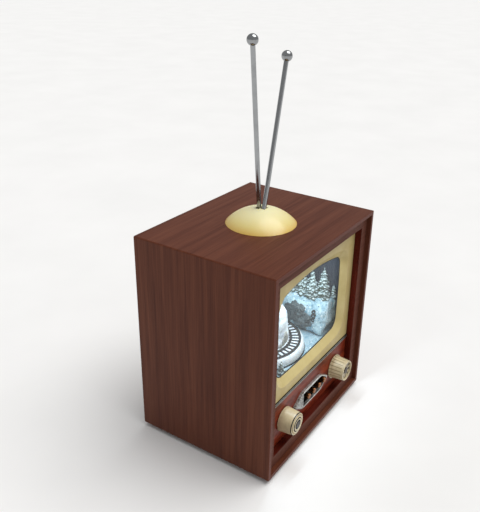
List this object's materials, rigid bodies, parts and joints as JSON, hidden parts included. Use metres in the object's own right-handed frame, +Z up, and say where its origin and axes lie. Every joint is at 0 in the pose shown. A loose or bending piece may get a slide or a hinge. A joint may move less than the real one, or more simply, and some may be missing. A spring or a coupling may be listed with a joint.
{
  "type": "retro television winter scene display",
  "caption": "Retro tube-television cabinet with a lit winter railway scene behind its screen, turning knobs, push buttons and a two-rod antenna.",
  "frame": {"origin": "on the floor under the middle of the set's outer box, knobs included", "axes": "+X to the right of a person facing the screen, +Y towards the back cover, +Z up"},
  "size_m": [0.198, 0.161, 0.3999],
  "materials": {
    "antenna_chrome": "polished",
    "back_board": "pressed board",
    "back_plastic": "moulded",
    "bezel_cream": "satin",
    "black_plastic": "matt",
    "black_rubber": "matt",
    "block_wood": "plain",
    "board_green": "lacquered",
    "brass": "plain",
    "button_copper": "metallic amber",
    "cabinet_wood": "satin veneer",
    "cell_wrap": "plain wrap",
    "chrome": "polished",
    "clear_window": "clear",
    "cone_paper": "paper",
    "dome_cream": "satin",
    "foot_brown": "matt",
    "frame_wood": "satin veneer",
    "gear_nylon": "natural",
    "knob_ivory": "satin",
    "lamp_white": "frosted",
    "magnet_grey": "ferrite",
    "motor_zinc": "zinc plated",
    "night_blue": "matt",
    "panel_red": "lacquered",
    "rail_black": "satin",
    "snow": "matt",
    "steel": "zinc plated",
    "train_red": "gloss",
    "tree_green": "frosted"
  },
  "bodies": {
    "cabinet": {"antenna_dome": "dome_cream", "antenna_pin": "steel", "back_cover": "back_board", "battery_cells": "cell_wrap", "battery_holder": "black_plastic", "board_parts": "black_plastic", "board_spacers": "gear_nylon", "button_guide": "black_plastic", "button_surround": "chrome", "cabinet_shell": "cabinet_wood", "case_screws": "steel", "cell_contacts": "steel", "control_nuts": "brass", "control_panel": "panel_red", "corner_blocks": "block_wood", "cover_screws": "steel", "drive_motor": "motor_zinc", "drive_plate": "steel", "feet": "foot_brown", "front_frame": "frame_wood", "lamp_board": "board_green", "mountain": "snow", "plate_standoffs": "steel", "power_inlet": "black_plastic", "scene_box": "night_blue", "scene_lamps": "lamp_white", "scene_trees": "tree_green", "screen_bezel": "bezel_cream", "screen_gasket": "black_rubber", "screen_window": "clear_window", "selector_switch": "steel", "shaft_bushes": "brass", "snow_ground": "snow", "sound_board": "board_green", "speaker_basket": "motor_zinc", "speaker_cone": "cone_paper", "speaker_magnet": "magnet_grey", "switch_bank": "black_plastic", "trim_strip": "chrome", "volume_control": "steel"},
    "volume_spindle": {"volume_knob": "knob_ivory", "volume_shaft": "steel"},
    "selector_spindle": {"selector_knob": "knob_ivory", "selector_shaft": "steel"},
    "button_1": {"push_button_1": "button_copper"},
    "button_2": {"push_button_2": "button_copper"},
    "button_3": {"push_button_3": "button_copper"},
    "button_4": {"push_button_4": "button_copper"},
    "antenna_left": {"antenna_rod_left": "antenna_chrome", "antenna_ball_left": "antenna_chrome"},
    "antenna_right": {"antenna_rod_right": "antenna_chrome", "antenna_ball_right": "antenna_chrome"},
    "turntable": {"track_table": "snow", "rail_ring": "rail_black", "table_hill": "snow", "toy_train": "train_red", "table_shaft": "steel", "table_gear": "gear_nylon"},
    "motor_output": {"motor_pinion": "brass"},
    "door": {"battery_door": "back_plastic"}
  },
  "joints": [
    {"name": "volume_turn", "type": "hinge", "parent": "cabinet", "child": "volume_spindle", "pos_m": [-0.054, -0.0755, 0.0444], "axis": [0, -1, 0], "range_deg": [-150, 150]},
    {"name": "selector_turn", "type": "hinge", "parent": "cabinet", "child": "selector_spindle", "pos_m": [0.055, -0.0755, 0.0444], "axis": [0, -1, 0], "range_deg": [-60, 60]},
    {"name": "button_1_press", "type": "slide", "parent": "cabinet", "child": "button_1", "axis": [0, 1, 0], "range_m": [0, 0.002], "stiffness_N_per_m": 300, "springref_m": -0.001},
    {"name": "button_2_press", "type": "slide", "parent": "cabinet", "child": "button_2", "axis": [0, 1, 0], "range_m": [0, 0.002], "stiffness_N_per_m": 300, "springref_m": -0.001},
    {"name": "button_3_press", "type": "slide", "parent": "cabinet", "child": "button_3", "axis": [0, 1, 0], "range_m": [0, 0.002], "stiffness_N_per_m": 300, "springref_m": -0.001},
    {"name": "button_4_press", "type": "slide", "parent": "cabinet", "child": "button_4", "axis": [0, 1, 0], "range_m": [0, 0.002], "stiffness_N_per_m": 300, "springref_m": -0.001},
    {"name": "antenna_left_tilt", "type": "hinge", "parent": "cabinet", "child": "antenna_left", "pos_m": [0, 0.00515, 0.233], "axis": [0, -1, 0], "range_deg": [-3, 24]},
    {"name": "antenna_right_tilt", "type": "hinge", "parent": "cabinet", "child": "antenna_right", "pos_m": [0, -0.00015, 0.233], "axis": [0, 1, 0], "range_deg": [-9, 17]},
    {"name": "turntable_spin", "type": "hinge", "parent": "cabinet", "child": "turntable", "pos_m": [-0.0086, -0.0001, 0.09], "axis": [0, 0, 1], "continuous": true},
    {"name": "motor_spin", "type": "hinge", "parent": "cabinet", "child": "motor_output", "pos_m": [-0.0086, 0.0259, 0.064], "axis": [0, 0, 1], "continuous": true},
    {"name": "battery_door_hinge", "type": "hinge", "parent": "cabinet", "child": "door", "pos_m": [0.012, 0.07575, 0.0172], "axis": [-1, 0, 0], "range_deg": [0, 75]}
  ],
  "couplings": [
    {"joint": "motor_spin", "follows": "turntable_spin", "ratio": -3.3333}
  ]
}
